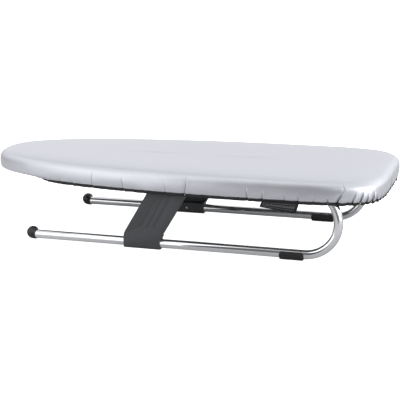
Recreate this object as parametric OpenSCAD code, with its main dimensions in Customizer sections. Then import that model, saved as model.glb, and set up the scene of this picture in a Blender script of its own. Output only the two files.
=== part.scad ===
// Table-top ironing board with two fold-flat tube legs.
// X runs along the board (nose at -X, broad end at +X), Y across it, Z up.
// Origin: on the table, under the middle of the board.

/* [Board] */
// Length of the covered board
board_length = 750; // [620:5:900]
// Width of the covered board at its widest place
board_width = 310; // [258:2:372]
// Distance of the widest place from the middle of the board
widest_x = 136; // [110:2:150]
// Roundness of the nose seen from above, along the board
nose_round_x = 2.0; // [1.8:0.05:2.3]
// Roundness of the nose seen from above, across the board
nose_round_y = 2.45; // [2.2:0.05:2.7]
// Squareness of the broad end seen from above
tail_round = 5.0; // [4:0.1:6]

/* [Deck] */
// Thickness of the deck sheet
deck_t = 0.8; // [0.6:0.1:1.2]
// Height of the rim band under the deck sheet
rim_h = 24; // [18:1:28]
// Thickness of the rim band
rim_t = 0.8; // [0.6:0.1:1.2]
// Diameter of a steam hole
hole_d = 13; // [9:1:16]
// Distance from one steam hole to the next
hole_pitch = 34; // [28:1:44]
// Thickness of the foam underlay
foam_t = 4; // [3:0.5:5]
// Thickness of the cover cloth
cloth_t = 0.8; // [0.6:0.1:1]

/* [Hem and label] */
// Height of the hem binding
hem_h = 5; // [4:0.5:8]
// Thickness of the hem binding
hem_t = 2.4; // [2:0.1:3]
// How far the hem binding hangs below the rim band
hem_drop = 9.5; // [8:0.5:12]
// Length of the label along the board
label_w = 64; // [50:1:80]
// Drop of the label below the hem
label_h = 18; // [14:1:24]
// Distance of the label's middle from the broad end
label_from_tail = 165; // [140:1:240]

/* [Legs] */
// Outside diameter of the leg tube
tube_d = 16; // [13:0.5:19.5]
// Wall of the leg tube
tube_wall = 1.0; // [0.8:0.1:1.5]
// Distance from the broad end to the outside of the bend
tail_reach = 63; // [50:1:80]
// Distance from the nose to the end ball's centre
nose_reach = 113.5; // [90:0.5:140]
// How much larger the end ball's radius is than the tube's
ball_over = 3.5; // [2.5:0.1:4.5]

/* [Strut] */
// Width of the strut along the board
strut_w = 67; // [55:1:81]
// Left edge of the strut at the table, from the middle of the board
strut_x = -80; // [-96:1:-66]
// How far the strut leans along the board on its way up
strut_lean = 56; // [46:1:68]
// Depth of the strut between its two wraps
strut_depth = 9; // [7:0.5:12]
// Radius of the strut's knee on its left edge
knee_r = 30; // [15:1:40]
// Wall of the strut
strut_wall = 2.5; // [2:0.1:3]
// Number of ribs across the inside of the strut
strut_ribs = 3; // [2:1:4]

/* [Feet and saddles] */
// Plastic under the tube, at the strut and the foot
pad_t = 2.5; // [2:0.1:3]
// Length of a foot along the board
foot_l = 42; // [34:1:51]
// Length of a hinge saddle along the board
saddle_l = 24; // [20:1:29]
// Width of a saddle's flange beside the tube
flange_w = 10.5; // [10:0.5:12]
// Saddle material over the tube
saddle_roof = 1.9; // [1.5:0.1:2.5]
// Free length of tube between the strut and the first ring
bare_l = 23; // [15:1:30]
// Thickness of the mounting rail on the deck
rail_t = 2; // [1.5:0.1:2.5]
// Diameter of a saddle screw
screw_d = 3.5; // [3:0.1:4]

/* [Fits] */
// Running clearance of the leg tube in its saddles
run_gap = 0.08; // [0.05:0.01:0.1]
// Clearance of a fixed sleeve on the leg tube
sleeve_gap = 0.05; // [0.03:0.01:0.08]
// Clearance between the strut's heel and the deck
heel_gap = 0.35; // [0.3:0.05:0.5]
// Gap between the two legs when both are folded
fold_gap = 3; // [2:0.5:12]
// Gap between a saddle's flange and the rim band
side_gap = 2.9; // [2:0.1:6]
// Gap between a folded end ball and the deck
ball_gap = 0.5; // [0.4:0.1:2]
// Height of the end balls off the table
ball_clear = 1.5; // [1:0.25:3]
// Gap between a ring and its saddle
ring_gap = 0.4; // [0.3:0.1:1]

/* [Hidden] */

$fn = 64;
eps = 0.01;

tube_r = tube_d / 2;
wrap_r = tube_r + pad_t;
ball_r = tube_r + ball_over;
saddle_half = tube_r + flange_w;
rim_in = cloth_t + foam_t;
rail_in = rim_in + rim_t;

// The saddles just fit inside the rim band, and the legs fold flat side by side, so the
// board's width sets the distance between the legs and the radius of their bends.
leg_y = board_width / 2 - rail_in - side_gap - saddle_half;
bend_r = (leg_y - wrap_r - fold_gap / 2) / 2;
bend_x = board_length / 2 - tail_reach - bend_r - tube_r;
ball_x = nose_reach - board_length / 2;

low_z = pad_t + tube_r;
top_z = low_z + 2 * bend_r;
ball_lift = ball_r + ball_clear - low_z;

// The hinge axis lies this far under the deck sheet, so a folded end ball clears the deck.
axis_drop = max(ball_r + ball_gap, wrap_r + ball_gap, tube_r + run_gap + saddle_roof + rail_t);
deck_z = top_z + axis_drop;
deck_top = deck_z + deck_t;
foam_top = deck_top + foam_t;
board_top = foam_top + cloth_t;
rim_z = deck_z - rim_h;
hem_z = rim_z - hem_drop;
hem_top = hem_z + hem_h;
rail_z = deck_z - rail_t;

label_x = board_length / 2 - label_from_tail;

strut_top_x = strut_x + strut_lean;
plug_head = 2;
top_end_x = strut_top_x - 1;
ring_l = 6;
ring_r = tube_r + 1.5;
head_r = 3.2;
flange_t = 2;
screw_y = tube_r + 5.6;
split = 0.2;

saddle_a_x = strut_top_x + strut_w + bare_l + ring_l + ring_gap + saddle_l / 2;
saddle_b_x = bend_x - ring_l - 2 * ring_gap - saddle_l / 2;
foot_x = bend_x - foot_l;
ring_a_x = saddle_a_x - saddle_l / 2 - ring_l - ring_gap;
ring_b_x = saddle_b_x + saddle_l / 2 + ring_gap;
rail_x0 = saddle_a_x - saddle_l / 2 - 2;
rail_x1 = saddle_b_x + saddle_l / 2 + 2;

// Half width of the board at x, drawn in by "inset" all round.
function half_width(x, inset) =
    let (b = board_width / 2 - inset,
         tail = board_length / 2 - widest_x - inset,
         nose = board_length / 2 + widest_x - inset)
    x > widest_x
        ? b * pow(max(0, 1 - pow((x - widest_x) / tail, tail_round)), 1 / tail_round)
        : b * pow(max(0, 1 - pow((widest_x - x) / nose, nose_round_x)), 1 / nose_round_y);

// One point of the board's outline at angle a.
function outline_point(a, inset) =
    let (c = cos(a), s = sin(a),
         b = board_width / 2 - inset,
         len = c > 0 ? board_length / 2 - widest_x - inset : board_length / 2 + widest_x - inset,
         ex = c > 0 ? tail_round : nose_round_x,
         ey = c > 0 ? tail_round : nose_round_y)
    [widest_x + sign(c) * len * pow(abs(c), 2 / ex), sign(s) * b * pow(abs(s), 2 / ey)];

module outline(inset = 0)
    polygon([for (a = [0 : 2.25 : 357.75]) outline_point(a, inset)]);

module ring_2d(inner, outer)
    difference() {
        outline(outer);
        outline(inner);
    }

// A bar between two heights whose outline follows the board.
module band(z0, z1, inner, outer)
    translate([0, 0, z0])
        linear_extrude(z1 - z0)
            ring_2d(inner, outer);

module sheet(z0, z1, inset)
    translate([0, 0, z0])
        linear_extrude(z1 - z0)
            outline(inset);

// Cylinder along X from x0 to x1.
module x_rod(x0, x1, r)
    translate([x0, 0, 0])
        rotate([0, 90, 0])
            cylinder(r = r, h = x1 - x0);

// Cylinder along Y from y0 to y1.
module y_rod(y0, y1, r)
    translate([0, y0, 0])
        rotate([-90, 0, 0])
            cylinder(r = r, h = y1 - y0);

// Shapes for one leg are drawn for the near side, with the tube's plane at y = 0,
// and "side" is -1 for the near leg and 1 for the far one.
module at_leg(side)
    translate([0, side * leg_y, 0])
        mirror([0, side > 0 ? 1 : 0, 0])
            children();

// ---- cover and underlay ----

module cover()
    color([0.80, 0.81, 0.85]) {
        sheet(foam_top, board_top, 0);
        band(hem_top, foam_top, cloth_t, 0);
    }

module pad_top()
    color([0.88, 0.86, 0.78])
        sheet(deck_top, foam_top, cloth_t);

module pad_side()
    color([0.88, 0.86, 0.78])
        band(rim_z, deck_top, rim_in, cloth_t);

module hem()
    color([0.05, 0.05, 0.06])
        difference() {
            band(hem_z, hem_top, hem_t, 0);
            band(hem_z + 1.5, hem_top - 1.5, hem_t - 0.7, 0.7);
        }

module elastic()
    color([0.9, 0.9, 0.9])
        band(hem_z + 1.5, hem_top - 1.5, hem_t - 0.7, 0.7);

module label()
    color([0.06, 0.06, 0.07])
        translate([label_x - label_w / 2, -half_width(label_x, 1.6), hem_z - label_h])
            cube([label_w, 0.8, label_h]);

// ---- deck ----

hole_cols = ceil(board_length / 2 / hole_pitch);
hole_rows = ceil(board_width / 2 / hole_pitch);

module steam_holes()
    for (i = [-hole_cols : hole_cols])
        for (j = [-hole_rows : hole_rows]) {
            x = (i + (j % 2 == 0 ? 0 : 0.5)) * hole_pitch;
            y = j * hole_pitch * 0.866;
            under_rail = abs(abs(y) - leg_y) < saddle_half + hole_d / 2 + 1
                && x > strut_top_x - hole_d && x < bend_x + hole_d;
            if (abs(y) < half_width(x, 24 + hole_d / 2) && abs(x) < board_length / 2 - 24 && !under_rail)
                translate([x, y, deck_z - 1])
                    cylinder(d = hole_d, h = deck_t + 2, $fn = 24);
        }

module deck()
    color([0.72, 0.73, 0.75])
        difference() {
            sheet(deck_z, deck_top, rim_in);
            steam_holes();
        }

module rim()
    color([0.70, 0.71, 0.73])
        band(rim_z, deck_z, rail_in, rim_in);

// Long plate under the deck that carries the two saddles of one leg.
module rail(side)
    color([0.62, 0.63, 0.65])
        at_leg(side)
            translate([rail_x0, -saddle_half, rail_z])
                cube([rail_x1 - rail_x0, 2 * saddle_half, rail_t]);

module saddle_hole(x, z0, h)
    for (s = [-1, 1])
        translate([x, s * screw_y, z0])
            cylinder(d = screw_d, h = h);

// Upper half of a hinge bearing.
module saddle(side, x)
    color([0.12, 0.12, 0.13])
        at_leg(side)
            difference() {
                translate([x - saddle_l / 2, -saddle_half, top_z + split])
                    cube([saddle_l, 2 * saddle_half, rail_z - top_z - split]);
                translate([0, 0, top_z])
                    x_rod(x - saddle_l, x + saddle_l, tube_r + run_gap);
                saddle_hole(x, top_z - 1, rail_z - top_z + 2);
            }

// Lower half of a hinge bearing: a pressed strap with two flanges.
module strap(side, x)
    color([0.6, 0.61, 0.63])
        at_leg(side)
            difference() {
                translate([0, 0, top_z]) {
                    x_rod(x - saddle_l / 2 + 3, x + saddle_l / 2 - 3, tube_r + run_gap + flange_t);
                    translate([x - saddle_l / 2 + 3, -saddle_half, split - flange_t])
                        cube([saddle_l - 6, 2 * saddle_half, flange_t]);
                }
                translate([0, 0, top_z])
                    x_rod(x - saddle_l, x + saddle_l, tube_r + run_gap);
                translate([x - saddle_l, -saddle_half - 1, top_z + split])
                    cube([2 * saddle_l, 2 * saddle_half + 2, tube_r + 8]);
                saddle_hole(x, top_z - 6, 12);
            }

module strap_screw(x, y) {
    translate([x, y, top_z + split - flange_t - 1.8])
        cylinder(r = head_r, h = 1.8);
    translate([x, y, top_z + split - flange_t - 0.3])
        cylinder(d = screw_d - 0.1, h = rail_z - top_z - split + flange_t + 0.3);
}

module strap_screws()
    color([0.75, 0.75, 0.76])
        for (side = [-1, 1])
            at_leg(side)
                for (x = [saddle_a_x, saddle_b_x])
                    for (s = [-1, 1])
                        strap_screw(x, s * screw_y);

// ---- leg ----

module leg_solid(r, x_low, x_high) {
    translate([0, 0, low_z])
        x_rod(x_low, bend_x, r);
    translate([0, 0, top_z])
        x_rod(x_high, bend_x, r);
    translate([bend_x, 0, low_z + bend_r])
        rotate([90, 0, 0])
            rotate([0, 0, -90])
                rotate_extrude(angle = 180, $fn = 96)
                    translate([bend_r, 0])
                        circle(r = r);
}

module tube(side)
    color([0.85, 0.86, 0.88])
        at_leg(side)
            difference() {
                leg_solid(tube_r, ball_x - 3, top_end_x);
                leg_solid(tube_r - tube_wall, ball_x - 4, top_end_x - 1);
            }

// Rounded bar along X whose section is a square with rounded corners.
module wrap_bar(x0, x1, z, r) {
    half = wrap_r;
    translate([x0, -half, z - half + r])
        cube([x1 - x0, 2 * half, 2 * half - 2 * r]);
    translate([x0, -half + r, z - half])
        cube([x1 - x0, 2 * half - 2 * r, 2 * half]);
    for (sy = [-1, 1])
        for (sz = [-1, 1])
            translate([0, sy * (half - r), z + sz * (half - r)])
                x_rod(x0, x1, r);
}

// Side view of the strut between the two tubes. The left knee and the right shoulder,
// where the outline turns away from the strut, are arcs.
lean = atan2(strut_lean, 2 * bend_r - 2 * tube_r);

module strut_side(inset) {
    r = knee_r - inset;
    knee = low_z + tube_r + knee_r * tan(lean / 2) + inset * tan(lean / 2);
    shoulder = top_z - tube_r - knee_r * tan(lean / 2) - inset * tan(lean / 2);
    left = [for (i = [0 : 6]) let (a = lean * i / 6)
        [strut_x + knee_r - r * cos(a), knee - knee_r * tan(lean / 2) + r * sin(a)]];
    right = [for (i = [0 : 6]) let (a = lean * i / 6)
        [strut_top_x + strut_w - knee_r + r * cos(a), shoulder + knee_r * tan(lean / 2) - r * sin(a)]];
    polygon(concat(
        [[strut_x + inset, low_z]],
        left,
        [[strut_top_x + inset, top_z - tube_r - inset * tan(lean / 2)],
         [strut_top_x + inset, top_z],
         [strut_top_x + strut_w - inset, top_z]],
        right,
        [[strut_x + strut_w - inset, low_z + tube_r + inset * tan(lean / 2)],
         [strut_x + strut_w - inset, low_z]]));
}

module strut_plate(y0, y1, inset)
    translate([0, y1, 0])
        rotate([90, 0, 0])
            linear_extrude(y1 - y0)
                strut_side(inset);

// Slab across the strut from height z0 to z1, from depth y0 inwards.
module strut_slab(z0, z1, y0)
    translate([strut_x - 5, y0, z0])
        cube([strut_w + strut_lean + 10, 3 * wrap_r, z1 - z0]);

// Shallow grooves down the outer face, along the lean.
module strut_grooves()
    for (i = [-1 : 1])
        translate([strut_x + strut_w / 2 + strut_lean / 2 + i * 12, -wrap_r, low_z + bend_r])
            rotate([0, lean, 0])
                translate([-1.2, -0.5, -0.27 * bend_r * 2])
                    cube([2.4, 1, 0.54 * bend_r * 2]);

module strut(side)
    color([0.27, 0.28, 0.30])
        at_leg(side)
            difference() {
                union() {
                    difference() {
                        strut_plate(-wrap_r, wrap_r, 0);
                        strut_slab(low_z + wrap_r + 3, top_z - wrap_r - 3, strut_depth - wrap_r);
                        difference() {
                            strut_plate(-wrap_r + strut_wall, wrap_r + 1, strut_wall);
                            strut_slab(0, low_z + wrap_r, -wrap_r - 1);
                            strut_slab(top_z - wrap_r, top_z + wrap_r, -wrap_r - 1);
                            for (i = [1 : strut_ribs]) {
                                z = low_z + wrap_r
                                    + i * (2 * bend_r - 2 * wrap_r) / (strut_ribs + 1);
                                translate([strut_x, -wrap_r, z - 1])
                                    cube([strut_w + strut_lean, strut_depth - 1, 2]);
                            }
                        }
                    }
                    wrap_bar(strut_x, strut_x + strut_w, low_z, 6);
                    wrap_bar(strut_top_x, strut_top_x + strut_w, top_z, wrap_r - 1);
                    // Heel on the outer side that stands against the deck when the leg is up.
                    translate([strut_top_x + strut_w - 24, -wrap_r - 1, top_z + 2])
                        cube([20, wrap_r - 1, axis_drop - heel_gap - 2]);
                }
                translate([0, 0, low_z])
                    x_rod(strut_x - 5, strut_x + strut_w + 5, tube_r + sleeve_gap);
                translate([0, 0, top_z])
                    x_rod(strut_top_x - 5, strut_top_x + strut_w + 5, tube_r + sleeve_gap);
                strut_screw_holes();
                strut_grooves();
            }

// The two self-tapping screws that hold the strut on the tube, from its inner side.
module strut_screw_places()
    for (p = [[strut_x + strut_w / 2, low_z], [strut_top_x + strut_w / 2, top_z]])
        translate([p[0], 0, p[1]])
            children();

module strut_screw_holes()
    strut_screw_places() {
        y_rod(tube_r - 3, wrap_r + 1, screw_d / 2 + 0.05);
        y_rod(wrap_r - 1.4, wrap_r + 2, head_r + 0.1);
    }

module strut_screws(side)
    color([0.75, 0.75, 0.76])
        at_leg(side)
            strut_screw_places() {
                y_rod(tube_r + sleeve_gap, wrap_r - 1, screw_d / 2);
                y_rod(wrap_r - 1.4, wrap_r - 0.1, head_r);
            }

// Ball on the low end of the tube, cut flat where the tube leaves it.
module ball(side)
    color([0.08, 0.08, 0.09])
        at_leg(side)
            difference() {
                union() {
                    intersection() {
                        translate([ball_x, 0, low_z + ball_lift])
                            rotate([0, 90, 0])
                                sphere(r = ball_r);
                        translate([ball_x - 2 * ball_r, -2 * ball_r, 0])
                            cube([ball_r * 2.57, 4 * ball_r, 4 * ball_r]);
                    }
                    translate([0, 0, low_z])
                        x_rod(ball_x, ball_x + ball_r * 0.57, tube_r + 0.4 * ball_over);
                }
                translate([0, 0, low_z])
                    x_rod(ball_x - 3.2, ball_x + 20, tube_r + sleeve_gap);
            }

// Foot saddle that wraps the lower part of the tube near the bend.
module foot_side() {
    r = 4;
    h = low_z + tube_r * 0.6;
    translate([foot_x + r, 0])
        square([foot_l - 2 * r, h]);
    translate([foot_x, r])
        square([foot_l, h - 2 * r]);
    for (x = [foot_x + r, foot_x + foot_l - r])
        for (z = [r, h - r])
            translate([x, z])
                circle(r = r);
}

module foot(side)
    color([0.07, 0.07, 0.08])
        at_leg(side)
            difference() {
                intersection() {
                    translate([0, 0, low_z])
                        x_rod(foot_x, foot_x + foot_l, wrap_r + 0.5);
                    translate([0, 30, 0])
                        rotate([90, 0, 0])
                            linear_extrude(60)
                                foot_side();
                }
                translate([0, 0, low_z])
                    x_rod(foot_x - 5, foot_x + foot_l + 5, tube_r + sleeve_gap);
            }

// Plug in the upper end of the tube.
module plug(side)
    color([0.1, 0.1, 0.11])
        at_leg(side)
            translate([0, 0, top_z]) {
                x_rod(top_end_x - plug_head, top_end_x, tube_r);
                x_rod(top_end_x - eps, top_end_x + 10, tube_r - tube_wall - sleeve_gap);
            }

// Split ring that keeps the tube from sliding in its saddles.
module ring(side, x)
    color([0.75, 0.75, 0.77])
        at_leg(side)
            difference() {
                translate([0, 0, top_z])
                    x_rod(x, x + ring_l, ring_r);
                translate([0, 0, top_z])
                    x_rod(x - 1, x + ring_l + 1, tube_r + sleeve_gap);
                translate([x - 1, -0.6, top_z - ring_r - 1])
                    cube([ring_l + 2, 1.2, ring_r]);
            }

cover();
pad_top();
pad_side();
hem();
elastic();
label();
deck();
rim();
rail(-1);  // rail_near
rail(1);  // rail_far
saddle(-1, saddle_a_x);  // saddle_near_a
saddle(-1, saddle_b_x);  // saddle_near_b
saddle(1, saddle_a_x);  // saddle_far_a
saddle(1, saddle_b_x);  // saddle_far_b
strap(-1, saddle_a_x);  // strap_near_a
strap(-1, saddle_b_x);  // strap_near_b
strap(1, saddle_a_x);  // strap_far_a
strap(1, saddle_b_x);  // strap_far_b
strap_screws();
tube(-1);  // tube_near
strut(-1);  // strut_near
strut_screws(-1);  // strut_screws_near
ball(-1);  // ball_near
foot(-1);  // foot_near
plug(-1);  // plug_near
ring(-1, ring_a_x);  // ring_near_a
ring(-1, ring_b_x);  // ring_near_b
tube(1);  // tube_far
strut(1);  // strut_far
strut_screws(1);  // strut_screws_far
ball(1);  // ball_far
foot(1);  // foot_far
plug(1);  // plug_far
ring(1, ring_a_x);  // ring_far_a
ring(1, ring_b_x);  // ring_far_b
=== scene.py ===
"""Table-top ironing board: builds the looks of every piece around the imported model, in metres."""
import math

import bmesh
import bpy
import numpy as np
from bpy.props import FloatProperty, FloatVectorProperty, PointerProperty
from mathutils import Matrix, Vector


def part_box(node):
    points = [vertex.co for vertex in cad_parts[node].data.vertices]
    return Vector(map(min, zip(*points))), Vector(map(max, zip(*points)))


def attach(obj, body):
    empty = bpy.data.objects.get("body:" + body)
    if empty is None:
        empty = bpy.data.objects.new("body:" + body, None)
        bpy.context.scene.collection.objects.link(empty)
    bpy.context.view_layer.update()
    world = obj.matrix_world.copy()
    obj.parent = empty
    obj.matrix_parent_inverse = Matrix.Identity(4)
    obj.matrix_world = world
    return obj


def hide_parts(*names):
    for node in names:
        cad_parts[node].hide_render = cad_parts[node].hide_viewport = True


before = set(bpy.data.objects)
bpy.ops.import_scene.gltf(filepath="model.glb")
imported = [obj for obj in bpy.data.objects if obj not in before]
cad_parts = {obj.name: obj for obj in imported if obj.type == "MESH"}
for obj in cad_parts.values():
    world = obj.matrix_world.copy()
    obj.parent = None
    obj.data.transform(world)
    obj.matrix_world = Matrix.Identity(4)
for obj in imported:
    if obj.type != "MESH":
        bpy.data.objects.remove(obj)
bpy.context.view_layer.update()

bl_info = {
    "name": "Ironing board",
    "version": (1, 0, 0),
    "blender": (4, 5, 0),
    "location": "View3D > Sidebar > Ironing board",
    "description": "Builds the covered board, its hem and label, and the two folding legs",
    "category": "Object",
}

MM = 0.001
LOW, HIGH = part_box("cover")
HALF_LENGTH, HALF_WIDTH = HIGH.x, HIGH.y
BOARD_TOP, CLOTH_EDGE = HIGH.z, LOW.z
RIM_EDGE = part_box("rim")[0].z
DECK_UNDER, DECK_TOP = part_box("deck")[0].z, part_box("deck")[1].z
FOAM_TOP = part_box("pad_top")[1].z
LEG_Y = sum(v.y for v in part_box("tube_far")) / 2
TUBE_R = (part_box("tube_far")[1].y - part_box("tube_far")[0].y) / 2
LOW_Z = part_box("tube_far")[0].z + TUBE_R
HINGE_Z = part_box("tube_far")[1].z - TUBE_R

# Where the board is widest, and how round its two ends are.
WIDEST_X = 136 * MM
NOSE_ROUND = (2.0, 2.45)
TAIL_ROUND = (5.0, 5.0)
# The top's slope where it meets the shoulder.
CROWN_SLOPE = math.radians(11.0)
# The top's rings of points: inset from the edge, and how many of the edge's columns go to one point.
TOP_RINGS = (
    (0.0155, 1), (0.0185, 1), (0.0225, 2), (0.027, 2), (0.033, 2), (0.040, 2), (0.049, 4), (0.059, 4), (0.069, 4),
    (0.080, 4), (0.091, 4), (0.102, 4), (0.113, 4), (0.124, 4), (0.135, 4), (0.145, 4), (0.152, 4),
)
# The side cloth turns under the rim: where it starts to, over what length, its steepest slope, and the
# spare cloth that this takes. HANG_REACH is the longest side that is worked out.
UNDER_START, UNDER_BEND, UNDER_SLOPE, TUCK = 0.0125, 0.009, math.radians(88), 0.006
HANG_REACH, HANG_STEPS = 0.036, 90
# A pleat bends the cloth no further from it than this.
PLEAT_REACH = 0.03

# The foam's inner and outer inset from the edge, and the roundness of its shoulder.
UNDERLAY_INNER, UNDERLAY_OUTER, UNDERLAY_ROUND = 0.00495, 0.0022, 0.0124
# The binding is a folded strip: outer leg, fold and inner leg, with room for the elastic. Each point is
# its drop below the cloth's edge and its distance out from it, in mm.
BINDING_SECTION = (
    (-2.6, -0.85), (-0.4, -0.85), (0.3, -0.35), (1.0, 0.15), (1.8, 0.30), (2.4, 0.0), (2.9, 0.28), (3.8, 0.2),
    (4.6, -0.3), (4.95, -1.0), (4.6, -1.9), (3.6, -2.3), (1.6, -2.4), (-1.0, -2.2), (-2.6, -2.1),
    (-2.6, -1.65), (-1.0, -1.7), (1.6, -1.85), (3.4, -1.8), (4.1, -1.5), (4.25, -1.0), (4.0, -0.6), (2.4, -0.5),
    (0.6, -0.85), (-0.4, -1.3), (-2.6, -1.3),
)
ELASTIC_SECTION = ((1.2, -1.1), (1.2, -1.6), (3.7, -1.5), (3.9, -1.2), (3.7, -0.9), (1.4, -0.95))
STITCH_ABOVE = 0.0016

# The cloths' threads and ribs, and the label's drop, woven lines and lozenges along its middle.
COVER_THREAD, LABEL_THREAD, BINDING_RIB = 0.0011, 0.0006, 0.0012
LABEL_DROP, LABEL_MIDDLE, LABEL_LINE, LABEL_LINE_HALF = 0.018, 0.0088, 0.0052, 0.00022
LOZENGE_PITCH, LOZENGE_REACH, LOZENGE_LINE = 0.0035, 0.0011, 0.0003
# Middle and half length of the woven row, and its colour.
LABEL_ROW, LABEL_MARK = (0.0315, 0.0275), (0.22, 0.22, 0.23)

# Steam holes keep this far from the deck's edge, and off the rails.
HOLE_MARGIN, RAIL_HALF, RAIL_ENDS = 0.024, 0.0185, (-0.037, 0.259)
# A screw head's height, its profile as shares of radius and height, and where the screws sit.
HEAD_HEIGHT = 0.0018
SCREW_PROFILE = ((0.35, 0.97), (0.7, 0.86), (0.9, 0.66), (1.0, 0.36), (1.0, 0.05), (0.94, 0.0))
SCREW_OUT, STRUT_SCREW_X = 0.0056, (-0.0465, 0.0095)
SIDES = (("near", -1), ("far", 1))


# ---- the settings a user would change ----

class IRON_PG_sizes(bpy.types.PropertyGroup):
    cloth_t: FloatProperty(
        name="Cloth thickness", description="Thickness of the cover cloth", default=0.0008, unit="LENGTH")
    shoulder: FloatProperty(
        name="Shoulder radius", description="Roundness of the covered board's upper edge", default=0.015, unit="LENGTH")
    crown: FloatProperty(
        name="Crown", description="How far the middle of the top stands above its edge", default=0.0036, unit="LENGTH")
    puff: FloatProperty(
        name="Side puff", description="How far the cover's side swells", default=0.0020, unit="LENGTH")
    crease: FloatProperty(
        name="Crease depth", description="Depth of the pleats that rise from the hem", default=0.0019, unit="LENGTH")
    stitch: FloatProperty(
        name="Stitch pitch", description="Distance from one hem stitch to the next", default=0.0036, unit="LENGTH")
    hole_pitch: FloatProperty(
        name="Steam hole pitch", description="Distance from one steam hole to the next", default=0.034, unit="LENGTH")
    hole_r: FloatProperty(
        name="Steam hole radius", description="Radius of a steam hole", default=0.0065, unit="LENGTH")
    head_r: FloatProperty(
        name="Screw head radius", description="Radius of a screw head", default=0.0032, unit="LENGTH")
    edge: FloatProperty(
        name="Moulded edge", description="Rounding of the moulded pieces' edges", default=0.0005, unit="LENGTH")


class IRON_PG_colours(bpy.types.PropertyGroup):
    cloth: FloatVectorProperty(
        name="Cover", description="Silver cloth", subtype="COLOR", size=3, default=(0.58, 0.59, 0.635))
    tape: FloatVectorProperty(
        name="Hem", description="Hem binding and label", subtype="COLOR", size=3, default=(0.012, 0.012, 0.014))
    foam: FloatVectorProperty(
        name="Underlay", description="Foam underlay", subtype="COLOR", size=3, default=(0.76, 0.73, 0.62))
    paint: FloatVectorProperty(
        name="Deck", description="Powder coat of the deck and rim", subtype="COLOR", size=3,
        default=(0.085, 0.087, 0.094))
    chrome: FloatVectorProperty(
        name="Chrome", description="Chrome plate of the legs", subtype="COLOR", size=3, default=(0.80, 0.81, 0.83))
    charcoal: FloatVectorProperty(
        name="Struts", description="Moulded struts", subtype="COLOR", size=3, default=(0.040, 0.042, 0.046))
    black: FloatVectorProperty(
        name="Black parts", description="Feet, balls, saddles and plugs", subtype="COLOR", size=3,
        default=(0.013, 0.013, 0.014))
    zinc: FloatVectorProperty(
        name="Zinc", description="Straps, rings and screws", subtype="COLOR", size=3, default=(0.50, 0.51, 0.53))


def sizes():
    return bpy.context.scene.iron_sizes


def colours():
    return bpy.context.scene.iron_colours


# ---- materials ----

def add(tree, kind, inputs=None, **settings):
    """A node with its settings and inputs; an input is a value or another node's output."""
    node = tree.nodes.new(kind)
    for key, value in settings.items():
        setattr(node, key, value)
    for key, value in (inputs or {}).items():
        if isinstance(value, bpy.types.NodeSocket):
            tree.links.new(value, node.inputs[key])
        else:
            node.inputs[key].default_value = value
    return node


def made(tree, kind, inputs=None, **settings):
    """The first output of a new node."""
    return add(tree, kind, inputs, **settings).outputs[0]


def math_node(tree, operation, a, b=0.0, c=None):
    inputs = {0: a, 1: b} if c is None else {0: a, 1: b, 2: c}
    return made(tree, "ShaderNodeMath", inputs, operation=operation)


def tint(tree, factor, low, high):
    """A colour between two, which are colours or sockets, by a factor socket."""
    ends = {6 + i: c if isinstance(c, bpy.types.NodeSocket) else (*c, 1) for i, c in enumerate((low, high))}
    return add(tree, "ShaderNodeMix", {0: factor, **ends}, data_type="RGBA").outputs[2]


def spread(tree, factor, low, high):
    """A factor of 0 to 1 spread over the values low to high."""
    return made(tree, "ShaderNodeMapRange", {0: factor, 3: low, 4: high})


def shade(colour, amount):
    return tuple(min(1.0, c * amount) for c in colour)


def new_material(name, metallic=0.0, rough=0.5, **sockets):
    """A named material, its tree and its Object coordinates."""
    material = bpy.data.materials.new(name)
    material.use_nodes = True
    tree = material.node_tree
    shader = tree.nodes["Principled BSDF"]
    for key, value in {"Metallic": metallic, "Roughness": rough, **sockets}.items():
        shader.inputs[key.replace("_", " ")].default_value = value
    return material, tree, add(tree, "ShaderNodeTexCoord").outputs["Object"]


def surface(material, colour, height, depth, rough=None):
    """Joins a colour, a bump of this height and depth and a roughness to a material's shader."""
    tree = material.node_tree
    shader = tree.nodes["Principled BSDF"]
    tree.links.new(colour, shader.inputs["Base Color"])
    if rough is not None:
        tree.links.new(rough, shader.inputs["Roughness"])
    relief = made(tree, "ShaderNodeBump", {"Height": height, "Distance": depth, "Strength": 1.0})
    tree.links.new(relief, shader.inputs["Normal"])
    return material


def cut_map(tree):
    """The coordinates of the flat cloth that a piece was cut from."""
    return made(tree, "ShaderNodeUVMap", uv_map="cut")


def noise(tree, place, scale, detail=3.0, rough=0.55, stretch=None):
    if stretch:
        place = made(tree, "ShaderNodeMapping", {"Vector": place, "Scale": stretch})
    return made(tree, "ShaderNodeTexNoise", {"Vector": place, "Scale": scale, "Detail": detail, "Roughness": rough})


def weave(tree, pitch, uv):
    """Height of a plain weave whose threads follow the piece's UV map, from 0 to 1."""
    parts = add(tree, "ShaderNodeSeparateXYZ", {0: uv})
    k = 2 * math.pi / pitch
    waves = [math_node(tree, "SINE", math_node(tree, "MULTIPLY", parts.outputs[i], k)) for i in (0, 1)]
    over = math_node(tree, "MULTIPLY", waves[0], waves[1])
    return math_node(tree, "MULTIPLY_ADD", over, 0.5)


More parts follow.
